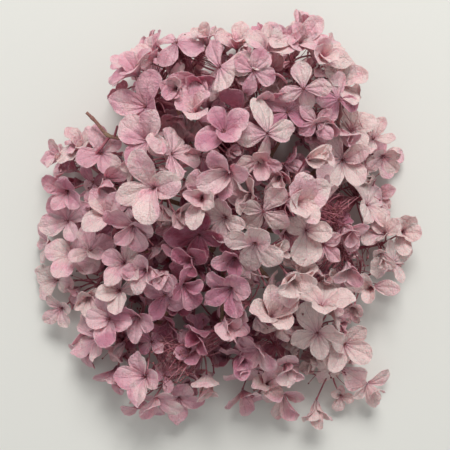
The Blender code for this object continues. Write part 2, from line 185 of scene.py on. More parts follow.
# Finishes
CREAM = (0.94, 0.67, 0.65, 1)
ROSE = (0.91, 0.49, 0.56, 1)
MAUVE = (0.57, 0.22, 0.32, 1)
WINE = (0.32, 0.05, 0.11, 1)
VEIN = (0.456, 0.176, 0.256, 1)
BROWN_SPECK = (0.42, 0.27, 0.24, 1)
BLUSH_STEPS = ((ROSE, 0.0, 0.55), (MAUVE, 0.45, 0.95), (WINE, 0.85, 1.5))   # each comes in between two depths
CRIMSON = (0.30, 0.05, 0.09, 1)
DRIED_CRIMSON = (0.55, 0.22, 0.26, 1)
PINK_SPECK = (0.56, 0.27, 0.29, 1)
PLUM = (0.17, 0.03, 0.05, 1)
PLUM_BROWN = (0.36, 0.13, 0.13, 1)
OLIVE_TAN = (0.30, 0.20, 0.12, 1)
RED_BARK = (0.30, 0.11, 0.10, 1)
PALE_BARK = (0.46, 0.34, 0.24, 1)
PORE = (0.10, 0.05, 0.035, 1)
MAIN_VEINS = 7.5            # waves of the vein fan for each radian
FORKED_VEINS = 22.0

# Stage
FLOOR_REACH = 10
FLOOR_COLOUR = (0.77, 0.775, 0.74, 1)
ROOM_LIGHT = 0.42
ROOM_COLOUR = (1.0, 1.0, 0.985, 1)
WINDOW_LIGHT = 31
WINDOW_COLOUR = (1.0, 0.985, 0.96)
WINDOW_WIDTH = 0.9
WINDOW_DEPTH = 0.7
WINDOW_PLACE = Vector((0.15, 1.3, 1.5))
CAMERA_ANGLE = 31.65
CAMERA_HEIGHT = 480         # in millimetres, over the tables' origin
CAMERA_TILT = (-0.43, 0.21, 0)    # almost straight down, the crown at the top

# Branches: the radius, then the points that the branch is drawn through
BRANCHES = {
    "main_stem": (2.6, ((6, -46, 4), (4, -32, 7), (1, -18, 12), (0, -9, 17))),
    "branch_crown_left": (1.5, ((-5, 2, 20), (-13, 22, 30), (-22, 44, 38), (-28, 62, 42))),
    "branch_crown_middle": (1.5, ((-1, 4, 21), (2, 26, 34), (5, 48, 44), (8, 66, 47))),
    "branch_crown_right": (1.5, ((4, 2, 20), (16, 22, 29), (30, 46, 36), (42, 64, 38))),
    "branch_right_high": (1.4, ((6, -1, 18), (26, 12, 21), (48, 26, 19), (64, 34, 15))),
    "branch_right": (1.4, ((6, -5, 17), (28, -7, 22), (50, -12, 20), (66, -17, 15))),
    "branch_lower_right": (1.5, ((4, -9, 18), (17, -27, 26), (34, -46, 29), (46, -60, 24))),
    "branch_lower": (1.4, ((-1, -14, 19), (-3, -32, 30), (-3, -50, 34), (-4, -64, 28))),
    "branch_lower_left": (1.5, ((-4, -9, 18), (-16, -28, 26), (-32, -50, 27), (-46, -68, 19))),
    "branch_left_low": (1.4, ((-6, -5, 18), (-27, -12, 28), (-48, -20, 30), (-66, -26, 22))),
    "branch_left_high": (1.4, ((-6, -1, 19), (-26, 8, 30), (-46, 14, 32), (-64, 18, 24))),
    "cut_side_branch": (1.2, ((-48, 41, 50), (-58, 44, 47), (-66, 46, 45), (-72, 53, 46), (-77, 58, 48))),
}

# Sprigs: how deep the pink is, 0 to 1, then the florets that show. A floret is the place of its heart, the
# way it leans and how far from upright, its sepals' length, how open it is, and its turn.
SPRIGS = {
    "sprig_centre_left": (0.2, ((-37, 16, 79, 200, 8, 20, 0.92, 14),)),
    "sprig_centre_top": (0.3, ((-13, 11, 76, 250, 12, 15, 0.85, 75), (1, 24, 78, 10, 10, 16, 0.9, 10))),
    "sprig_centre_high": (0.2, ((20, 44, 73, 90, 10, 16, 0.85, 15), (17, 31, 67, 270, 30, 12, 0.8, 85))),
    "sprig_centre_back": (0.4, ((-2, 44, 76, 200, 12, 15, 0.8, 30), (-17, 54, 68, 120, 20, 14, 0.7, 0))),
    "sprig_shoulder_left": (0.3, ((-41, 40, 72, 150, 15, 15, 0.8, 55), (-29, 33, 75, 60, 25, 15, 0.55, 85))),
    "sprig_centre_middle": (0.1, ((12, 13, 71, 200, 30, 13, 0.5, 20), (18, 4, 74, 240, 12, 14, 0.8, 50),
                                  (-1, 1, 71, 270, 22, 14, 0.75, 70))),
    "sprig_centre_right": (0.1, ((31, 8, 73, 10, 18, 20, 0.85, 12), (29, 24, 62, 20, 25, 12, 0.6, 30))),
    "sprig_right_shoulder": (0.2, ((41, 31, 64, 20, 35, 14, 0.5, 30), (41, -6, 62, 350, 20, 15, 0.75, 80))),
    "sprig_centre_low": (0.0, ((31, -29, 68, 290, 20, 17, 0.8, 5), (14, -12, 74, 240, 20, 14, 0.8, 60))),
    "sprig_hollow": (0.9, ((-15, -8, 67, 300, 20, 15, 0.6, 20), (-18, -20, 62, 240, 25, 14, 0.5, 50))),
    "sprig_front_top": (0.5, ((2, -36, 63, 250, 18, 16, 0.75, 40), (4, -20, 69, 250, 15, 14, 0.75, 0))),
    "sprig_front_middle": (0.1, ((23, -52, 59, 250, 15, 18, 0.85, 20), (-2, -54, 54, 240, 25, 14, 0.4, 35))),
    "sprig_crown_left_front": (0.4, ((-43, 59, 62, 200, 20, 16, 0.8, 70), (-47, 75, 60, 130, 30, 15, 0.7, 20),
                                     (-52, 82, 48, 135, 50, 13, 0.7, 50))),
    "sprig_crown_left_back": (0.3, ((-27, 93, 60, 90, 35, 14, 0.6, 55),
                                    (-38, 87, 54, 115, 40, 13, 0.65, 30))),
    "sprig_crown_left_low": (0.5, ((-26, 68, 66, 200, 20, 12, 0.7, 40),
                                   (-18, 74, 57, 180, 10, 15, 0.75, 10))),
    "sprig_crown_back": (0.2, ((-4, 78, 70, 100, 20, 16, 0.75, 30), (-11, 92, 58, 90, 35, 12, 0.7, 80),
                               (5, 91, 59, 90, 35, 14, 0.7, 5), (20, 88, 64, 60, 20, 14, 0.85, 75))),
    "sprig_crown_middle": (0.6, ((13, 76, 67, 280, 20, 11, 0.8, 70), (19, 63, 60, 300, 15, 14, 0.7, 30),
                                 (31, 56, 61, 300, 20, 14, 0.75, 60))),
    "sprig_crown_under_left": (0.5, ((-38, 96, 17, 110, 55, 14, 0.75, 20),
                                     (-53, 84, 15, 140, 60, 13, 0.75, 60))),
    "sprig_crown_under_middle": (0.5, ((-2, 101, 16, 90, 60, 14, 0.75, 30),
                                       (16, 100, 17, 80, 55, 13, 0.75, 70))),
    "sprig_crown_under_right": (0.4, ((47, 98, 16, 60, 55, 14, 0.75, 10),
                                      (62, 84, 17, 40, 55, 14, 0.75, 50))),
    "sprig_crown_right_back": (0.2, ((38, 101, 48, 80, 50, 13, 0.7, 80),
                                     (38, 93, 56, 100, 25, 14, 0.75, 40))),
    "sprig_crown_right_edge": (0.1, ((52, 95, 42, 60, 45, 13, 0.7, 60), (60, 72, 50, 30, 40, 13, 0.7, 10))),
    "sprig_crown_right_top": (0.2, ((48, 85, 59, 30, 20, 15, 0.8, 30), (39, 67, 65, 270, 15, 12, 0.8, 15))),
    "sprig_crown_right_low": (0.5, ((58, 63, 55, 330, 25, 12, 0.8, 80), (50, 54, 50, 300, 20, 15, 0.7, 20))),
    "sprig_right_big": (0.0, ((64, 33, 35, 20, 15, 19, 0.9, 30), (70, 50, 28, 60, 30, 13, 0.8, 10))),
    "sprig_right_far": (0.4, ((84, 46, 20, 60, 30, 13, 0.7, 60), (90, 35, 15, 10, 20, 14, 0.8, 15))),
    "sprig_right_middle": (0.1, ((80, 8, 21, 340, 25, 15, 0.8, 30), (90, 14, 14, 350, 40, 13, 0.75, 10))),
    "sprig_right_inner": (0.5, ((64, -4, 44, 350, 20, 15, 0.7, 30), (66, -24, 42, 340, 20, 14, 0.75, 0))),
    "sprig_right_tip": (0.3, ((102, -8, 14, 0, 25, 14, 0.8, 80), (95, -25, 16, 330, 30, 13, 0.8, 20))),
    "sprig_right_lower": (0.2, ((84, -39, 24, 330, 20, 15, 0.85, 15),)),
    "sprig_front_right_top": (0.0, ((50, -47, 57, 40, 12, 18, 0.9, 75), (38, -33, 58, 120, 25, 12, 0.7, 60))),
    "sprig_front_right": (0.1, ((49, -62, 49, 300, 22, 16, 0.8, 10), (66, -71, 30, 330, 20, 14, 0.8, 60))),
    "sprig_front_right_edge": (0.3, ((66, -86, 24, 320, 30, 17, 0.85, 60),
                                     (82, -97, 12, 310, 35, 15, 0.8, 20),
                                     (52, -107, 13, 280, 40, 14, 0.8, 30))),
    "sprig_front_low": (0.7, ((32, -80, 36, 280, 25, 14, 0.7, 0), (18, -70, 46, 270, 20, 14, 0.7, 45))),
    "sprig_front_edge": (0.5, ((22, -95, 24, 270, 35, 15, 0.75, 30), (33, -104, 13, 270, 45, 14, 0.75, 60),
                               (10, -84, 34, 280, 30, 13, 0.8, 30))),
    "sprig_front": (0.2, ((-12, -88, 33, 260, 30, 15, 0.85, 85), (-27, -80, 30, 200, 30, 12, 0.7, 10))),
    "sprig_front_inner": (0.7, ((-10, -62, 48, 250, 25, 15, 0.7, 80), (7, -75, 41, 270, 20, 13, 0.6, 20))),
    "sprig_front_left_top": (0.4, ((-46, -88, 37, 240, 18, 17, 0.9, 5),
                                   (-49, -53, 43, 240, 15, 14, 0.85, 0))),
    "sprig_front_left_edge": (0.5, ((-29, -105, 13, 250, 40, 14, 0.75, 80),
                                    (-51, -107, 10, 240, 50, 13, 0.75, 60))),
    "sprig_left_low_edge": (0.5, ((-64, -86, 16, 240, 50, 15, 0.6, 80),
                                  (-82, -76, 14, 230, 55, 13, 0.7, 60))),
    "sprig_left_low": (0.4, ((-74, -68, 27, 200, 30, 17, 0.8, 40), (-65, -55, 38, 220, 25, 14, 0.7, 0))),
    "sprig_middle_left": (0.4, ((-43, -27, 58, 200, 25, 13, 0.6, 80), (-35, -28, 60, 90, 15, 12, 0.45, 80),
                                (-34, -41, 52, 250, 20, 13, 0.7, 60), (-24, -34, 56, 250, 20, 13, 0.75, 10))),
    "sprig_left_inner": (0.3, ((-50, -3, 62, 240, 12, 14, 0.75, 30), (-56, -24, 56, 130, 15, 14, 0.8, 60),
                               (-64, 2, 53, 190, 20, 14, 0.7, 60))),
    "sprig_left_pale": (0.1, ((-97, -52, 16, 210, 30, 12, 0.85, 40), (-100, -36, 13, 190, 40, 13, 0.75, 0),
                              (-59, -39, 50, 200, 20, 14, 0.8, 0))),
    "sprig_left_middle": (0.2, ((-89, -22, 27, 190, 20, 16, 0.8, 60), (-104, -14, 14, 180, 40, 13, 0.8, 0),
                                (-77, -18, 37, 180, 20, 14, 0.8, 20))),
    "sprig_left": (0.4, ((-91, -1, 28, 190, 20, 14, 0.8, 30), (-66, 22, 50, 170, 20, 14, 0.75, 50))),
    "sprig_left_high": (0.4, ((-90, 16, 30, 170, 20, 15, 0.8, 60), (-70, 36, 40, 140, 20, 14, 0.75, 20))),
    "sprig_left_high_edge": (0.3, ((-95, 36, 22, 140, 30, 12, 0.75, 10),
                                   (-84, 41, 28, 110, 25, 13, 0.75, 45))),
}


def heading(azimuth, lean):
    """The direction that is lean degrees off upright, towards the azimuth."""
    turn = math.radians(azimuth)
    tilt = math.radians(lean)
    return Vector((math.cos(turn) * math.sin(tilt), math.sin(turn) * math.sin(tilt), math.cos(tilt)))


def floret_frame(floret):
    """The matrix that stands a floret on its heart: +Z is the way it faces, +X its first sepal."""
    x, y, z, azimuth, lean, _, _, turn = floret
    tilt = UP.rotation_difference(heading(azimuth, lean)).to_matrix().to_4x4()
    return Matrix.Translation((x, y, z)) @ tilt @ Matrix.Rotation(math.radians(turn), 4, "Z")


def sepal_rings(length, pitch):
    """How far out, how high and how wide a sepal is at its waist and at its blunt tip."""
    widest = length * WIDEST_AT
    flatter = pitch * 0.55
    out = widest * math.cos(pitch)
    rise = widest * math.sin(pitch)
    rest = length - widest
    return ((out, rise, length * WIDEST_HALF),
            (out + rest * math.cos(flatter), rise + rest * math.sin(flatter), length * TIP_HALF))


def sepals(floret, seed):
    """For each sepal, the way it points in the floret's plane, how steeply it stands up, and its length."""
    _, _, _, _, _, length, opening, _ = floret
    chance = random.Random(seed)
    for quarter in range(4):
        turn = quarter * math.pi / 2
        outward = Vector((math.cos(turn), math.sin(turn), 0))
        skew = Matrix.Rotation(math.radians(chance.uniform(-7, 7)), 3, "Z")
        pitch = math.radians((1 - opening) * FOLDED_PITCH + chance.uniform(-8, 10))
        yield outward, skew, pitch, length * chance.uniform(0.88, 1.06)


def floret_sheet(floret, seed, thickness):
    """Four sepals round a square heart, as a closed sheet, still facing up at the middle of the table."""
    sheet = bmesh.new()
    bmesh.ops.create_grid(sheet, x_segments=1, y_segments=1, size=HEART_WIDTH / 2)
    sides = sheet.edges[:]
    for outward, skew, pitch, length in sepals(floret, seed):
        edge = max(sides, key=lambda side: (side.verts[0].co + side.verts[1].co).dot(outward))
        across = UP.cross(outward)
        for out, rise, half in sepal_rings(length, pitch):
            grown = bmesh.ops.extrude_edge_only(sheet, edges=[edge])["geom"]
            edge = next(item for item in grown if isinstance(item, bmesh.types.BMEdge))
            for vert in edge.verts:
                side = half if vert.co.dot(across) > 0 else -half
                vert.co = skew @ (outward * out + across * side) + UP * rise
    bmesh.ops.solidify(sheet, geom=sheet.faces[:], thickness=thickness)
    bmesh.ops.recalc_face_normals(sheet, faces=sheet.faces[:])
    return sheet


def join(bm, part):
    """Move all of part into bm."""
    mesh = bpy.data.meshes.new("joining")
    part.to_mesh(mesh)
    part.free()
    bm.from_mesh(mesh)
    bpy.data.meshes.remove(mesh)


def add_tube(bm, points, radii, sides):
    """A closed round tube through the points, with a radius for each point."""
    part = bmesh.new()
    bmesh.ops.create_cone(part, cap_ends=True, segments=sides, radius1=radii[0], radius2=radii[0], depth=1)
    along = (points[1] - points[0]).normalized()
    part.transform(Matrix.Translation(points[0]) @ UP.rotation_difference(along).to_matrix().to_4x4()
                   @ Matrix.Translation((0, 0, 0.5)))
    here = points[0] + along
    swell = radii[0]
    face = max(part.faces, key=lambda item: item.calc_center_median().dot(along))
    for i in range(1, len(points)):
        if i > 1:
            face = bmesh.ops.extrude_discrete_faces(part, faces=[face])["faces"][0]
        ahead = (points[min(i + 1, len(points) - 1)] - points[i - 1]).normalized()
        turn = along.rotation_difference(ahead)
        for vert in face.verts:
            vert.co = points[i] + turn @ ((vert.co - here) * (radii[i] / swell))
        along = ahead
        here = points[i]
        swell = radii[i]
    join(bm, part)


def add_fork(bm, fork, root, room):
    """A sprig's stalk, from its root to the swelling that its flower stalks leave from."""
    along = (fork - root).normalized()
    points = [root, fork - along * FORK_RADIUS * 1.6, fork, fork + along * FORK_RADIUS]
    radii = [STALK_RADIUS + room, STALK_RADIUS + room, FORK_RADIUS + room, FORK_RADIUS * 0.5 + room]
    add_tube(bm, points, radii, 5)


def smooth_line(points, steps):
    """Points on a smooth curve through the given points."""
    given = [Vector(point) for point in points]
    line = []
    for i in range(len(given) - 1):
        before = given[max(i - 1, 0)]
        start = given[i]
        end = given[i + 1]
        after = given[min(i + 2, len(given) - 1)]
        for step in range(steps):
            t = step / steps
            line.append(0.5 * (2 * start + (end - before) * t
                               + (2 * before - 5 * start + 4 * end - after) * t * t
                               + (3 * start - before - 3 * end + after) * t * t * t))
    line.append(given[-1])
    return line


def outline(bm):
    """The mesh's corners and faces, ready for a search tree. Frees the mesh."""
    bm.verts.index_update()
    corners = [vert.co.copy() for vert in bm.verts]
    faces = [[vert.index for vert in face.verts] for face in bm.faces]
    bm.free()
    return corners, faces


def tree_and_ball(corners, faces):
    """A search tree and the ball round it."""
    middle = sum(corners, Vector()) / len(corners)
    reach = max((corner - middle).length for corner in corners)
    return BVHTree.FromPolygons(corners, faces), (middle, reach)


class Thicket:
    """The pieces placed so far. Each has a tree that other sprigs keep clear of, and one for its own sprig,
    which leaves out the end where the sprig's flower stalks meet at the fork."""

    def __init__(self):
        self.pieces = []

    def add(self, owner, ball, far, near):
        self.pieces.append((owner, ball, far, near))

    def free(self, owner, ball, far, near):
        for other_owner, (middle, reach), other_far, other_near in self.pieces:
            if (ball[0] - middle).length > ball[1] + reach:
                continue
            if owner != other_owner:
                if far.overlap(other_far):
                    return False
            elif near and other_near and near.overlap(other_near):
                return False
        return True


def stalk_tree(start, fork, stops, slim):
    """A flower stalk with room round it."""
    along = (fork - start).normalized()
    room = bmesh.new()
    add_tube(room, [start + along, fork - along * stops], [HEART_ROOM, STALK_ROOM], 6)
    return tree_and_ball(*outline(room))


def place_floret(thicket, owner, floret, seed, fork, room=SHEET_ROOM, slim=STALK_ROOM):
    """The floret, moved a little until it is clear of the others and of the surface, or None."""
    for size in (1, 0.88):
        flat = shifted(floret, 0, 0, 0, size)
        corners, faces = outline(floret_sheet(flat, seed, room))
        for lean in (0, 12):
            for lift in (0, 3, -3, 6, -6):
                for turn in (0, 16, -16):
                    candidate = shifted(flat, lift, turn, lean, 1)
                    frame = floret_frame(candidate)
                    placed = [frame @ corner for corner in corners]
                    lowest = min(corner.z for corner in placed)
                    if lowest < SETTLES_BELOW:
                        candidate = shifted(candidate, -lowest, 0, 0, 1)
                        placed = [corner - UP * lowest for corner in placed]
                    tree, ball = tree_and_ball(placed, faces)
                    if not thicket.free(owner, ball, tree, tree):
                        continue
                    heart = Vector(candidate[:3])
                    far, stalk_ball = stalk_tree(heart, fork, 0, slim)
                    near, _ = stalk_tree(heart, fork, FORK_CLEARS, slim)
                    if thicket.free(owner, stalk_ball, far, near):
                        thicket.add(owner, ball, tree, tree)
                        thicket.add(owner, stalk_ball, far, near)
                        return candidate
    return None


def shifted(floret, lift, more_turn, more_lean, size):
    x, y, z, azimuth, lean, length, opening, turn = floret
    return (x, y, z + lift, azimuth, lean + more_lean, length * size, opening, turn + more_turn)


def find_fork(florets):
    """A flower stalk's length behind the florets, and not too low."""
    total = Vector()
    for floret in florets:
        total += Vector(floret[:3]) - heading(floret[3], floret[4] * 0.5) * FLOWER_STALK_LENGTH
    fork = total / len(florets)
    inward = Vector((-fork.x, -fork.y, 0)).normalized()
    fork += inward * 4
    fork.z = max(fork.z, LOWEST_FORK)
    return fork


def place_fork(thicket, name, wanted, twigs):
    """The fork and the root of its stalk, moved and shortened until they are clear of the others."""
    for away in (0, 4, 8, 12):
        for azimuth in range(0, 360, 45):
            fork = wanted + heading(azimuth, 90) * away
            near = min(twigs, key=lambda point: (point - fork).length)
            for share in (0.9, 0.7, 0.5, 0.3):
                length = max((near - fork).length * share, FORK_RADIUS * 2.5)
                root = fork + (near - fork).normalized() * length
                room = bmesh.new()
                add_fork(room, fork, root, FORK_ROOM)
                tree, ball = tree_and_ball(*outline(room))
                if thicket.free(name, ball, tree, None):
                    thicket.add(name, ball, tree, None)
                    return fork, root
    raise ValueError(name + " has no room for its fork")


def grow():
    """Every sprig's fork, the root of its stalk, and its florets, all clear of each other."""
    thicket = Thicket()
    twigs = []
    for name, (radius, points) in BRANCHES.items():
        line = smooth_line(points, 3)
        room = bmesh.new()
        add_tube(room, line, [radius + BRANCH_ROOM] * len(line), 8)
        tree, ball = tree_and_ball(*outline(room))
        thicket.add(name, ball, tree, None)
        if name.startswith("branch"):
            twigs += line[3:]
    forks = {name: place_fork(thicket, name, find_fork(florets), twigs)
             for name, (_, florets) in SPRIGS.items()}
    grown = {}
    for number, (name, (_, florets)) in enumerate(SPRIGS.items()):
        fork = forks[name][0]
        placed = []
        for k, floret in enumerate(florets):
            seed = number * 20 + k
            candidate = place_floret(thicket, name, floret, seed, fork)
            if candidate:
                placed.append((candidate, seed))
        grown[name] = placed
    for number, (name, (_, florets)) in enumerate(SPRIGS.items()):
        fork = forks[name][0]
        outward = math.degrees(math.atan2(fork.y, fork.x))
        furthest = max(math.hypot(floret[0], floret[1]) for floret in florets)
        wanted = FLORETS_OUTSIDE if fork.to_2d().length > EDGE_BEGINS else FLORETS_INSIDE
        for k in range(FILL_TRIES):
            if len(grown[name]) >= wanted:
                break
            azimuth = outward + FILL_TURN * k
            lean = (75, 60, 95, 50, 110)[k % 5]
            heart = fork + heading(azimuth, lean) * (FLOWER_STALK_LENGTH - 2)
            if heart.to_2d().length > furthest + 1:
                continue
            length = FILL_SIZES[(number + k) % len(FILL_SIZES)]
            floret = (heart.x, heart.y, heart.z, azimuth, lean, length, 0.75, 40 * k)
            seed = number * 20 + k + 10
            candidate = place_floret(thicket, name, floret, seed, fork)
            if candidate:
                grown[name].append((candidate, seed))
    return thicket, forks, grown


def grow_shown():
    """The head, and the extra florets that fill in between, which only show."""
    thicket, forks, grown = grow()
    extra = {name: [] for name in SPRIGS}
    for number, (name, (_, florets)) in enumerate(SPRIGS.items()):
        fork = forks[name][0]
        placed = [seed for _, seed in grown[name]]
        for k, floret in enumerate(florets):
            seed = number * 20 + k
            if seed not in placed:
                candidate = place_floret(thicket, name, floret, seed, fork, EXTRA_ROOM, EXTRA_STALK_ROOM)
                extra[name].append((candidate or floret, seed))
    for number, (name, (_, florets)) in enumerate(SPRIGS.items()):
        fork = forks[name][0]
        outward = math.degrees(math.atan2(fork.y, fork.x))
        furthest = max(math.hypot(floret[0], floret[1]) for floret in florets)
        for k in range(EXTRA_TRIES):
            if len(extra[name]) + len(grown[name]) >= SHOWN_FLORETS:
                break
            azimuth = outward + FILL_TURN * (k + 0.5)
            away = EXTRA_AWAY[k % len(EXTRA_AWAY)]
            heart = fork + heading(azimuth, away) * (FLOWER_STALK_LENGTH - 7 + 3.5 * (k % 4))
            if heart.to_2d().length > furthest + 2 or in_hollow(heart):
                continue
            length = FILL_SIZES[(number + k) % len(FILL_SIZES)] * EXTRA_SHORTER
            opening = EXTRA_OPENINGS[k % len(EXTRA_OPENINGS)]
            lean = min(away * 0.65, EXTRA_LEAN)
            floret = (heart.x, heart.y, heart.z, azimuth, lean, length, opening, 40 * k)
            seed = number * 20 + k + EXTRA_SEED
            candidate = place_floret(thicket, name, floret, seed, fork, EXTRA_ROOM, EXTRA_STALK_ROOM)
            if candidate:
                extra[name].append((candidate, seed))
    add_low_florets(thicket, forks, extra)
    return forks, grown, extra


def in_hollow(heart):
    """Whether a floret's heart would cover one of the open places."""
    for x, y, z, radius in HOLLOWS:
        if (heart - Vector((x, y, heart.z))).length < radius and heart.z > z - HOLLOW_DEPTH:
            return True
    return False


def add_low_florets(thicket, forks, extra):
    """Small florets low in the head, each on the nearest fork that it can reach."""
    rows = int(LOW_REACH / LOW_SPACING)
    for i in range(-rows, rows + 1):
        for k in range(-rows, rows + 1):
            heart = Vector((LOW_SPACING * (i + 0.5 * (k % 2)), LOW_SPACING * k, 10 + 4 * ((i + 2 * k) % 3)))
            if heart.length > LOW_REACH:
                continue
            near = sorted(forks, key=lambda name: (forks[name][0] - heart).length)
            for name in near[:LOW_FORKS]:
                fork = forks[name][0]
                if (fork - heart).length > LOW_TWIGS:
                    break
                floret = (heart.x, heart.y, heart.z, 70 * i + 40 * k, LOW_LEAN, LOW_LENGTH, 0.8, 25 * (i - k))
                seed = LOW_SEED + (i + rows) * 40 + k + rows
                candidate = place_floret(thicket, name, floret, seed, fork, EXTRA_ROOM, EXTRA_STALK_ROOM)
                if candidate:
                    extra[name].append((candidate, seed))
                    break


# ---------------------------------------------------------------- shapes that show

def put_tube(bm, points, radii, sides, material_index):
    """A closed round tube in bm, in one material."""
    before = len(bm.faces)
    add_tube(bm, points, radii, sides)
    bm.faces.ensure_lookup_table()
    for face in bm.faces[before:]:
        face.material_index = material_index
        face.smooth = True


def put_bead(bm, centre, along, width, length, material_index, rounds=1):
    """A small closed bud, longer along one way."""
    turn = UP.rotation_difference(along).to_matrix().to_4x4()
    place = Matrix.Translation(centre) @ turn @ Matrix.Diagonal((width, width, length, 1))
    ball = bmesh.ops.create_icosphere(bm, subdivisions=rounds, radius=0.5, matrix=place)
    for face in {face for vert in ball["verts"] for face in vert.link_faces}:
        face.material_index = material_index
        face.smooth = True


def sepal_half(along, lateness, slimness):
    """A sepal's half width, 0 to 1, from its claw at 0 to its blunt tip at 1."""
    return math.sin(math.pi * (0.03 + 0.87 * along ** lateness)) ** slimness


def sepal_alongs():
    """Where the rows of a sepal's grid lie on its length, closer together towards the tip."""
    shares = [row / SEPAL_ROWS for row in range(SEPAL_ROWS + 1)]
    return [share * (1.35 - 0.35 * share) for share in shares]


def sepal_profile(length, pitch, curl):
    """How far out, how high and how steep the middle of a sepal is, row by row."""
    rows = []
    out = HEART_RADIUS
    rise = 0
    before = 0
    for along in sepal_alongs():
        slope = pitch * (1.3 - 0.7 * along) + curl * along * along
        out += length * (along - before) * math.cos(slope)
        rise += length * (along - before) * math.sin(slope)
        rows.append((along, out, rise, slope))
        before = along
    return rows


def put_sepal(bm, layers, frame, sepal, chance, blush, layer):
    """One sepal as a curved sheet that follows its floret's bowl, with flat coordinates for the veins."""
    petal_map, rim_layer, blush_and_shade_layer = layers
    outward, skew, pitch, length = sepal
    sideways = UP.cross(outward)
    hug = chance.uniform(*HUG)
    ruffle = chance.uniform(*RUFFLE)
    waves = chance.uniform(*WAVES)
    phase = chance.uniform(0, 2 * math.pi)
    sweep = chance.uniform(*SWEEP)
    point = max(0, chance.uniform(*POINT))
    width = length * chance.uniform(*HALF_WIDTH)
    lateness = chance.uniform(*LATENESS)
    slimness = chance.uniform(*SLIMNESS)
    blush += chance.uniform(-SEPAL_BLUSH, SEPAL_BLUSH)
    crease = Vector((chance.uniform(0, 90), chance.uniform(0, 90), chance.uniform(0, 90)))
    rows = sepal_profile(length, pitch, math.radians(chance.triangular(*CURL)))
    sheet = bmesh.ops.create_grid(bm, x_segments=SEPAL_COLUMNS, y_segments=SEPAL_ROWS, size=1)["verts"]
    flat = {}
    for vert in sheet:
        across = vert.co.x
        along, out, rise, slope = rows[round((vert.co.y + 1) / 2 * SEPAL_ROWS)]
        reach = across * width * sepal_half(along, lateness, slimness)
        bowl = hug * math.sin(slope + BOWL_AT_LEAST) / max(out, 3)
        turn = max(-MOST_TURN, min(MOST_TURN, bowl * reach))
        side = reach if abs(turn) < 0.01 else math.sin(turn) / turn * reach
        lift = turn * reach / 2
        wave = ruffle * length * across * across * math.sin(2 * math.pi * waves * along + phase + across)
        dent = CREASE_DEPTH * noise.noise(crease + Vector((reach, along * length, 0)) * CREASE_SIZE)
        lift += (wave + dent) * along
        back = (TIP_ROUND * across * across - point * (1 - across * across)) * length * along ** 5
        middle = outward * (out - back * math.cos(slope) - lift * math.sin(slope))
        height = UP * (rise - back * math.sin(slope) + lift * math.cos(slope) + layer)
        vert.co = frame @ (skew @ (middle + sideways * (side + sweep * length * along * along)) + height)
        vert.co.z = max(vert.co.z, LOWEST_SEPAL + layer)
        vert[rim_layer] = max(abs(across), 2 * along - 1)
        # blush here carries painted shade as well as the sepal's own pink
        vert[blush_and_shade_layer] = blush
        flat[vert] = (0.5 + reach / length, along)
    for face in {face for vert in sheet for face in vert.link_faces}:
        face.smooth = True
        for loop in face.loops:
            loop[petal_map].uv = flat[loop.vert]


def nodded(floret, seed):
    """The floret as it dried: turned a little from the way it grew."""
    x, y, z, azimuth, lean, length, opening, turn = floret
    chance = random.Random(seed + 3000)
    most = SHOW_NODS if seed % 20 < 10 and seed < EXTRA_SEED else FILL_NODS
    towards = heading(chance.uniform(0, 360), 90)
    facing = heading(azimuth, lean) + towards * math.tan(math.radians(chance.uniform(0, most)))
    azimuth = math.degrees(math.atan2(facing.y, facing.x))
    lean = math.degrees(math.acos(facing.normalized().z))
    return (x, y, z, azimuth, lean, length, opening, turn)


def fold_of(chance):
    """How much further than in the solids a whole floret has folded up, or bent back."""
    kind = chance.random()
    least, most = next((least, most) for share, least, most in FOLDS if kind < share)
    return chance.uniform(least, most)


def painted_inner_shade(heart):
    """Painted shade: 0 on the outside of the head to 1 deep inside it, where the sepals are coloured deeper
    pink to stand for the shade among them.
    """
    dome = HEAD_TOP * (1 - (heart.to_2d() - MIDDLE.to_2d()).length_squared / HEAD_REACH ** 2)
    return max(0, min(1, (dome - heart.z - SHADE_BEGINS) / SHADE_DEPTH))


def fade_and_dip_shade(heart):
    """How much paler light has made one side of the head, and the painted shade that makes the dip in it
    deeper pink.
    """
    share = max(0, min(1, (heart - MIDDLE).dot(FADED_SIDE) / FADED_REACH))
    dip = math.exp(-(heart.to_2d() - DIP_MIDDLE).length_squared / DIP_WIDTH ** 2)
    return EVEN_BLUSH - FADED_BLUSH * share + DIP_PAINTED_SHADE * dip


def sepals_piece(name, florets, blush, made):
    """All the sepals of one sprig."""
    bm = bmesh.new()
    # the blush attribute holds each sepal's pink with painted shade added
    layers = (bm.loops.layers.uv.new("petal"), bm.verts.layers.float.new("rim"),
              bm.verts.layers.float.new("blush"))
    for floret, seed in florets:
        chance = random.Random(seed + 7000)
        frame = floret_frame(nodded(floret, seed))
        heart = Vector(floret[:3])
        # the sprig's pink, chance and the faded side, with painted shade added deep in the head and in the
        # dip
        blush_with_painted_shade = blush + chance.uniform(-FLORET_BLUSH, FLORET_BLUSH) + fade_and_dip_shade(heart)
        blush_with_painted_shade += PAINTED_SHADE_BLUSH * painted_inner_shade(heart)
        fold = fold_of(chance)
        growth = SHOW_GROWTH if seed < EXTRA_SEED else EXTRA_GROWTH
        for quarter, (outward, skew, pitch, length) in enumerate(sepals(floret, seed)):
            inner = quarter % 2
            pitch += math.radians(fold + INNER_PAIR_STEEPER * inner + chance.triangular(*STANDING))
            length *= chance.uniform(*growth) * (1 - INNER_PAIR_SMALLER * inner)
            skew = skew @ Matrix.Rotation(math.radians(chance.uniform(*SKEW)), 3, "Z")
            sepal = (outward, skew, pitch, length)
            put_sepal(bm, layers, frame, sepal, chance, blush_with_painted_shade, SEPAL_LAYER * inner)
    bmesh.ops.solidify(bm, geom=bm.faces[:], thickness=SHOWN_THICKNESS)
    bmesh.ops.recalc_face_normals(bm, faces=bm.faces[:])
    return finished(name, bm, [made])


def thinning(line, first, last):
    """A radius for each point of the line."""
    return [first + (last - first) * i / (len(line) - 1) for i in range(len(line))]


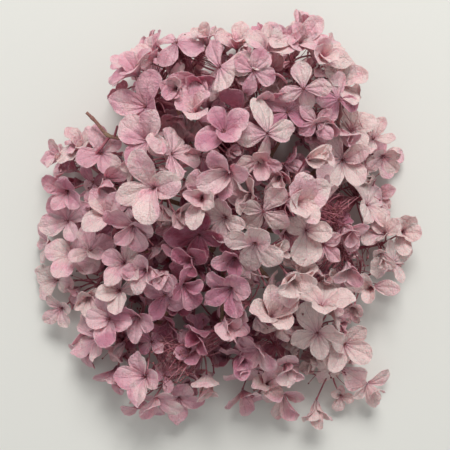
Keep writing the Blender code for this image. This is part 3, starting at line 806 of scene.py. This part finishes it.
def flower_stalk(bm, floret, fork, chance):
    """A thin curved stalk from the fork to the underside of a floret, and the bud in the floret's heart."""
    heart = Vector(floret[:3])
    facing = heading(floret[3], floret[4])
    span = (heart - fork).length
    bow = Vector((chance.uniform(-1, 1), chance.uniform(-1, 1), chance.uniform(-0.6, 0.3))) * span * 0.07
    line = smooth_line([fork, fork.lerp(heart - facing * span * 0.35, 0.5) + bow, heart - facing * 0.4], 4)
    radii = thinning(line, 0.62, 0.42)
    radii[-1] = 0.75
    put_tube(bm, line, radii, 6, 0)
    put_bead(bm, heart + facing * 0.4, facing, 1.3, 1.3, 1, 2)
    side = facing.orthogonal().normalized()
    for k in range(STAMENS):
        turn = math.radians(360 / STAMENS * k + chance.uniform(-20, 20))
        lean = Matrix.Rotation(turn, 3, facing) @ side
        tip = heart + facing * chance.uniform(1.4, 2.1) + lean * chance.uniform(0.9, 1.5)
        put_tube(bm, [heart + facing * 0.6 + lean * 0.4, tip], [0.16, 0.12], 3, 1)
        put_bead(bm, tip, facing, 0.5, 0.5, 1)


def twiglet(bm, start, end, chance):
    """A thin bare side shoot with a dried bud on its end."""
    end.z = max(end.z, 1)
    reach = (end - start).length
    bow = Vector((chance.uniform(-1, 1), chance.uniform(-1, 1), chance.uniform(-1, 1))) * reach * 0.16
    line = smooth_line([start, start.lerp(end, 0.5) + bow, end], 3)
    put_tube(bm, line, thinning(line, 0.32, 0.19), 4, 0)
    put_bead(bm, end, (end - start).normalized(), chance.uniform(0.9, 1.4), chance.uniform(1.1, 1.8), 1)


def stalks_piece(name, fork, root, florets, seed, made):
    """A sprig's stalk, its fork, its flower stalks with their hearts, and its bare side shoots."""
    bm = bmesh.new()
    along = (fork - root).normalized()
    chance = random.Random(seed)
    bow = Vector((chance.uniform(-1, 1), chance.uniform(-1, 1), 0)) * 1.2
    line = smooth_line([root - along * STALK_ENTERS, root.lerp(fork, 0.55) + bow, fork - along * 1.5,
                        fork + along * 1.2], 3)
    radii = [0.95] * len(line)
    radii[-3:] = [1.15, 1.45, 0.7]
    put_tube(bm, line, radii, 8, 0)
    for floret, number in florets:
        flower_stalk(bm, nodded(floret, number), fork, random.Random(number + 9000))
    for _ in range(TWIGLETS):
        start = root.lerp(fork, chance.uniform(0.45, 1))
        end = start + heading(chance.uniform(0, 360), chance.uniform(5, 95)) * chance.uniform(7, 19)
        twiglet(bm, start, end, chance)
    for x, y, z, radius in HOLLOWS:
        hollow = Vector((x, y, z))
        if (hollow - fork).length < HOLLOW_TWIGS_REACH:
            for _ in range(HOLLOW_TWIGS):
                away = heading(chance.uniform(0, 360), chance.uniform(30, 150))
                twiglet(bm, fork, hollow + away * radius * chance.random(), chance)
    return finished(name, bm, made)


def bark_piece(name, radius, points, made, arms):
    """A branch with swollen joints along it, thinning to its tip, and its side arms."""
    line = smooth_line(points, 8)
    bm = bmesh.new()
    radii = []
    for i in range(len(line)):
        share = i / (len(line) - 1)
        joint = 0.22 * math.exp(-((share * 3) % 1 - 0.5) ** 2 / 0.006)
        radii.append(radius * (1.06 - 0.35 * share + joint))
    put_tube(bm, line, radii, 12, 0)
    for arm in arms:
        line = smooth_line(arm, 4)
        put_tube(bm, line, thinning(line, 0.85, 0.55), 8, 1)
        put_bead(bm, line[-1], UP, 1.6, 1.6, 1)
    return finished(name, bm, made)


def finished(name, bm, materials):
    """The mesh as an object in its place, in metres."""
    bm.transform(Matrix.Scale(MM, 4) @ Matrix.Translation(-MIDDLE))
    mesh = bpy.data.meshes.new(name)
    bm.to_mesh(mesh)
    bm.free()
    for made in materials:
        mesh.materials.append(made)
    mesh.set_sharp_from_angle(angle=math.radians(SHARP_FROM))
    piece = bpy.data.objects.new(name, mesh)
    bpy.context.scene.collection.objects.link(piece)
    return piece


# ---------------------------------------------------------------- finishes

class Nodes:
    """A short way to write a node tree. An input goes by its name, or by its number as i0, i1 and so on."""

    def __init__(self, tree):
        self.tree = tree

    def new(self, kind, settings=None, **inputs):
        node = self.tree.nodes.new(kind)
        for key, value in (settings or {}).items():
            setattr(node, key, value)
        for key, value in inputs.items():
            socket = node.inputs[int(key[1:])] if key[0] == "i" and key[1:].isdigit() else node.inputs[key]
            if isinstance(value, bpy.types.NodeSocket):
                self.tree.links.new(value, socket)
            else:
                socket.default_value = value
        return node

    def math(self, operation, a, b=0.0, c=0.0, clamp=False):
        node = self.new("ShaderNodeMath", {"operation": operation, "use_clamp": clamp}, i0=a, i1=b, i2=c)
        return node.outputs[0]

    def scaled(self, value, times, plus=0.0):
        return self.math("MULTIPLY_ADD", value, times, plus)

    def smooth(self, value, low, high, to_low=0.0, to_high=1.0):
        node = self.new("ShaderNodeMapRange", {"interpolation_type": "SMOOTHSTEP"}, i0=value, i1=low, i2=high,
                        i3=to_low, i4=to_high)
        return node.outputs[0]

    def mix(self, factor, a, b, blend="MIX"):
        node = self.new("ShaderNodeMix", {"data_type": "RGBA", "blend_type": blend}, i0=factor, i6=a, i7=b)
        return node.outputs[2]

    def noise(self, vector, scale, detail=3.0, roughness=0.55):
        node = self.new("ShaderNodeTexNoise", None, Vector=vector, Scale=scale, Detail=detail,
                        Roughness=roughness)
        return node.outputs[0]


def group(name, inputs, outputs):
    """An empty shader node group with its sockets, its inner inputs and its output node."""
    tree = bpy.data.node_groups.new(name, "ShaderNodeTree")
    for label, kind, value in inputs:
        socket = tree.interface.new_socket(label, in_out="INPUT", socket_type=kind)
        if value is not None:
            socket.default_value = value
    for label, kind in outputs:
        tree.interface.new_socket(label, in_out="OUTPUT", socket_type=kind)
    nodes = Nodes(tree)
    return tree, nodes, nodes.new("NodeGroupInput").outputs, nodes.new("NodeGroupOutput")


def petal_veins_group():
    """A fan of veins from the claw, forking outwards, with a fine net between them. The veins are for colour
    and the pleats between them for relief."""
    tree, n, given, out = group("petal_veins", [("Petal", "NodeSocketVector", None),
                                               ("Wobble", "NodeSocketFloat", 0.2)],
                                [("Veins", "NodeSocketFloat"), ("Pleats", "NodeSocketFloat"),
                                 ("Heart", "NodeSocketFloat")])
    flat = n.new("ShaderNodeSeparateXYZ", None, Vector=given["Petal"])
    side = n.math("SUBTRACT", flat.outputs[0], 0.5)
    along = n.math("ADD", flat.outputs[1], 0.10)
    warp = n.math("SUBTRACT", n.noise(given["Petal"], 5.0), 0.5)
    angle = n.math("ADD", n.math("ARCTAN2", side, along), n.math("MULTIPLY", warp, given["Wobble"]))
    reach = n.math("SQRT", n.math("ADD", n.math("MULTIPLY", side, side), n.math("MULTIPLY", along, along)))
    pleats = n.math("ABSOLUTE", n.math("SINE", n.math("MULTIPLY", angle, MAIN_VEINS)))
    main = n.smooth(n.math("MULTIPLY", pleats, reach), 0.0, 0.16, 1.0, 0.0)
    fork = n.math("ABSOLUTE", n.math("SINE", n.math("MULTIPLY", angle, FORKED_VEINS)))
    fork = n.smooth(n.math("MULTIPLY", fork, reach), 0.0, 0.22, 1.0, 0.0)
    fork = n.math("MULTIPLY", fork, n.smooth(reach, 0.2, 0.55))
    net = n.new("ShaderNodeTexVoronoi", {"feature": "DISTANCE_TO_EDGE"}, Vector=given["Petal"], Scale=17.0)
    net = n.smooth(net.outputs[0], 0.0, 0.10, 0.55, 0.0)
    veins = n.math("MAXIMUM", main, n.math("MULTIPLY", n.math("MAXIMUM", fork, net), 0.6))
    tree.links.new(veins, out.inputs["Veins"])
    tree.links.new(n.math("ADD", pleats, n.math("MULTIPLY", net, -0.3)), out.inputs["Pleats"])
    tree.links.new(n.smooth(reach, 0.10, 0.52, 1.0, 0.0), out.inputs["Heart"])
    return tree


def mottle_group():
    """Soft blotches and fine specks over the whole object."""
    tree, n, given, out = group("dried_mottle", [("Size", "NodeSocketFloat", 60.0)],
                                [("Blotch", "NodeSocketFloat"), ("Speck", "NodeSocketFloat")])
    place = n.new("ShaderNodeTexCoord").outputs["Object"]
    tree.links.new(n.smooth(n.noise(place, given["Size"], 2.0), 0.36, 0.66), out.inputs["Blotch"])
    fine = n.math("MULTIPLY", given["Size"], 14.0)
    tree.links.new(n.smooth(n.noise(place, fine, 2.0), 0.3, 0.75), out.inputs["Speck"])
    return tree


def new_material(name):
    made = bpy.data.materials.new(name)
    made.use_nodes = True
    return made, Nodes(made.node_tree), made.node_tree.nodes["Principled BSDF"]


def lead_in(n, shader, colour, rough, height, strength, depth):
    """Lead a finish's colour, roughness and relief to its shader."""
    bump = n.new("ShaderNodeBump", None, Strength=strength, Distance=depth, Height=height)
    n.tree.links.new(colour, shader.inputs["Base Color"])
    n.tree.links.new(rough, shader.inputs["Roughness"])
    n.tree.links.new(bump.outputs[0], shader.inputs["Normal"])


def petal_material(name, veins_tree, mottle_tree):
    """Dried sepal: cream to wine by the sepal's own blush with its painted shade, deeper at the claw, veined,
    paler at the rim.
    """
    made, n, shader = new_material(name)
    flat = n.new("ShaderNodeUVMap", {"uv_map": "petal"}).outputs[0]
    veins = n.new("ShaderNodeGroup", {"node_tree": veins_tree}, Petal=flat, Wobble=0.22).outputs
    mottle = n.new("ShaderNodeGroup", {"node_tree": mottle_tree}, Size=70.0).outputs
    # the blush attribute carries painted shade as well as the sepal's own pink
    blush = n.new("ShaderNodeAttribute", {"attribute_name": "blush"}).outputs["Fac"]
    rim = n.new("ShaderNodeAttribute", {"attribute_name": "rim"}).outputs["Fac"]
    blotchy_blush_and_shade = n.math("ADD", blush, n.math("MULTIPLY", n.math("SUBTRACT", mottle["Blotch"], 0.5), 0.45))
    colour = CREAM
    for deeper, begins, done in BLUSH_STEPS:
        colour = n.mix(n.smooth(blotchy_blush_and_shade, begins, done), colour, deeper)
    colour = n.mix(n.scaled(veins["Heart"], 0.55), colour, MAUVE)
    colour = n.mix(n.scaled(veins["Veins"], 0.36), colour, VEIN)
    colour = n.mix(n.scaled(n.smooth(rim, 0.80, 1.0), 0.20), colour, CREAM)
    colour = n.mix(n.scaled(mottle["Speck"], 0.10), colour, BROWN_SPECK)
    place = n.new("ShaderNodeTexCoord").outputs["Object"]
    crumple = n.noise(place, 300.0, 3.0, 0.6)
    height = n.math("ADD", n.scaled(veins["Pleats"], 0.9), n.scaled(crumple, 2.6))
    height = n.math("ADD", height, n.scaled(mottle["Speck"], 0.3))
    lead_in(n, shader, colour, n.scaled(mottle["Speck"], 0.16, 0.52), height, 0.85, 0.0009)
    shader.inputs["Subsurface Weight"].default_value = 0.4
    shader.inputs["Subsurface Radius"].default_value = (1.0, 0.4, 0.45)
    shader.inputs["Subsurface Scale"].default_value = 0.0014
    shader.inputs["Sheen Weight"].default_value = 0.12
    shader.inputs["Sheen Roughness"].default_value = 0.5
    shader.inputs["Specular IOR Level"].default_value = 0.35
    return made


def stalk_material(mottle_tree):
    """Thin dyed stalks: crimson, paler pink where the skin has dried."""
    made, n, shader = new_material("crimson_stalk")
    mottle = n.new("ShaderNodeGroup", {"node_tree": mottle_tree}, Size=160.0).outputs
    colour = n.mix(mottle["Blotch"], CRIMSON, DRIED_CRIMSON)
    colour = n.mix(n.scaled(mottle["Speck"], 0.35), colour, PINK_SPECK)
    lead_in(n, shader, colour, n.scaled(mottle["Speck"], 0.25, 0.40), mottle["Speck"], 0.5, 0.0002)
    return made


def heart_material(mottle_tree):
    """Dried buds: dark plum brown."""
    made, n, shader = new_material("plum_heart")
    mottle = n.new("ShaderNodeGroup", {"node_tree": mottle_tree}, Size=300.0).outputs
    colour = n.mix(mottle["Blotch"], PLUM, PLUM_BROWN)
    lead_in(n, shader, colour, n.scaled(mottle["Speck"], 0.2, 0.5), mottle["Speck"], 0.6, 0.0002)
    return made


def bark_material(mottle_tree):
    """Dried twig: tan and olive brown, with dark pores and a crimson cast."""
    made, n, shader = new_material("twig_bark")
    mottle = n.new("ShaderNodeGroup", {"node_tree": mottle_tree}, Size=90.0).outputs
    place = n.new("ShaderNodeTexCoord").outputs["Object"]
    pores = n.new("ShaderNodeTexVoronoi", {"feature": "F1"}, Vector=place, Scale=900.0).outputs[0]
    pores = n.smooth(pores, 0.12, 0.3, 1.0, 0.0)
    colour = n.mix(mottle["Blotch"], OLIVE_TAN, RED_BARK)
    colour = n.mix(n.scaled(mottle["Speck"], 0.5), colour, PALE_BARK)
    colour = n.mix(n.scaled(pores, 0.6), colour, PORE)
    height = n.math("SUBTRACT", mottle["Speck"], pores)
    lead_in(n, shader, colour, n.scaled(mottle["Speck"], 0.2, 0.6), height, 0.7, 0.0004)
    return made


# ---------------------------------------------------------------- the head

def build_head():
    """The branches, then each sprig's sepals and its stalks."""
    forks, grown, extra = grow_shown()
    veins_tree = petal_veins_group()
    mottle_tree = mottle_group()
    petals = {slot: petal_material(slot, veins_tree, mottle_tree)
              for slot in ("sepals_pale", "sepals_pink", "sepals_mauve")}
    stalk = stalk_material(mottle_tree)
    heart = heart_material(mottle_tree)
    bark = bark_material(mottle_tree)
    for name, (radius, points) in BRANCHES.items():
        piece = bark_piece(name + "_bark", radius, points, [bark, stalk], ARMS.get(name, ()))
        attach(piece, "root")
        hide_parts(name)
    for number, name in enumerate(SPRIGS):
        fork, root = forks[name]
        blush = SPRIGS[name][0]
        slot = "sepals_pale" if blush <= 0.15 else "sepals_pink" if blush < 0.45 else "sepals_mauve"
        florets = grown[name] + extra[name]
        piece = sepals_piece(name + "_sepals", florets, blush, petals[slot])
        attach(piece, "root")
        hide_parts(name)
        stalks = stalks_piece(name + "_stalks", fork, root, florets, number, [stalk, heart])
        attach(stalks, "root")


def build_stage():
    """Plain pale floor, soft light from beyond the crown, and the camera above."""
    bm = bmesh.new()
    bmesh.ops.create_grid(bm, x_segments=1, y_segments=1, size=FLOOR_REACH)
    mesh = bpy.data.meshes.new("floor")
    bm.to_mesh(mesh)
    bm.free()
    floor = bpy.data.objects.new("floor", mesh)
    bpy.context.scene.collection.objects.link(floor)
    made, _, shader = new_material("pale_floor")
    shader.inputs["Base Color"].default_value = FLOOR_COLOUR
    shader.inputs["Roughness"].default_value = 0.9
    mesh.materials.append(made)
    world = bpy.data.worlds.new("soft_room")
    world.use_nodes = True
    world.node_tree.nodes["Background"].inputs["Color"].default_value = ROOM_COLOUR
    world.node_tree.nodes["Background"].inputs["Strength"].default_value = ROOM_LIGHT
    bpy.context.scene.world = world
    light = bpy.data.lights.new("window", "AREA")
    light.shape = "RECTANGLE"
    light.size = WINDOW_WIDTH
    light.size_y = WINDOW_DEPTH
    light.energy = WINDOW_LIGHT
    light.color = WINDOW_COLOUR
    window = bpy.data.objects.new("window", light)
    window.location = WINDOW_PLACE
    window.rotation_euler = (-WINDOW_PLACE).to_track_quat("-Z", "Y").to_euler()
    bpy.context.scene.collection.objects.link(window)
    lens = bpy.data.cameras.new("camera")
    lens.angle = math.radians(CAMERA_ANGLE)
    camera = bpy.data.objects.new("camera", lens)
    camera.location = (UP * CAMERA_HEIGHT - MIDDLE) * MM
    camera.rotation_euler = [math.radians(angle) for angle in CAMERA_TILT]
    lens.clip_start = 0.01
    bpy.context.scene.collection.objects.link(camera)
    bpy.context.scene.camera = camera
    bpy.context.scene.view_settings.view_transform = "Standard"


build_head()
build_stage()
